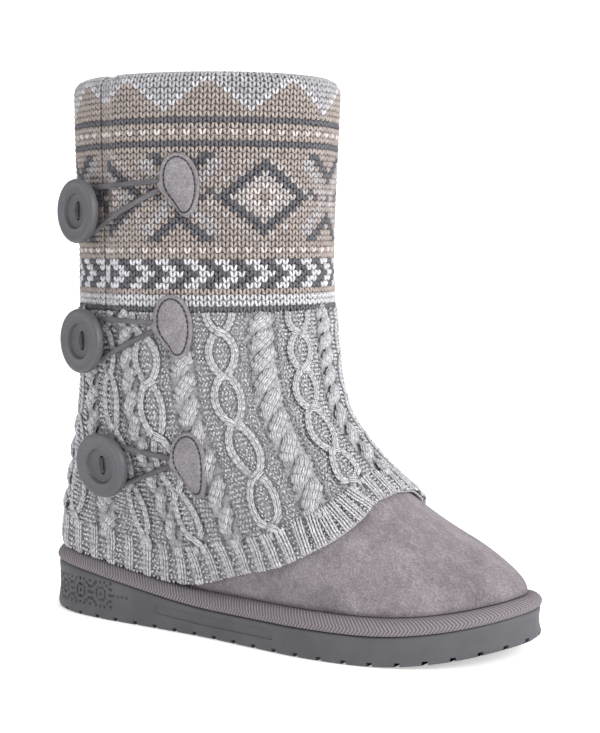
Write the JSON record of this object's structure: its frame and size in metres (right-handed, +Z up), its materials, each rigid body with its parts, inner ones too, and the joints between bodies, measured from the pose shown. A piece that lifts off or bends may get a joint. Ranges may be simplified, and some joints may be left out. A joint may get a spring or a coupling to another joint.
{
  "type": "mukluk boot",
  "caption": "Right-foot mukluk boot: suede foot, ribbed and cable knit sleeve folded over the collar, side buttons with cord loops, flat rubber sole.",
  "frame": {"origin": "on the floor under the middle of the shaft, on the sole's flat underside", "axes": "+X towards the toe, -Y towards the outer side of the foot, +Z up"},
  "size_m": [0.2729, 0.1313, 0.2739],
  "materials": {
    "rubber": "matt grey moulded rubber",
    "tape": "woven herringbone tape",
    "suede": "napped suede, grey with a mauve cast",
    "knit": "stockinette and cable knit wool blend",
    "fleece": "short pile lining",
    "button": "satin dark grey",
    "thread": "twisted sewing thread",
    "cord": "braided elastic cord"
  },
  "bodies": {
    "root": {"outsole": "rubber", "platform_wrap": "tape", "upper": "suede", "knit_sleeve": "knit", "insole": "fleece", "button_top": "button", "button_thread_top": "thread", "tab_top": "suede", "loop_top": "cord", "button_middle": "button", "button_thread_middle": "thread", "tab_middle": "suede", "loop_middle": "cord", "button_bottom": "button", "button_thread_bottom": "thread", "tab_bottom": "suede", "loop_bottom": "cord"}
  },
  "joints": []
}
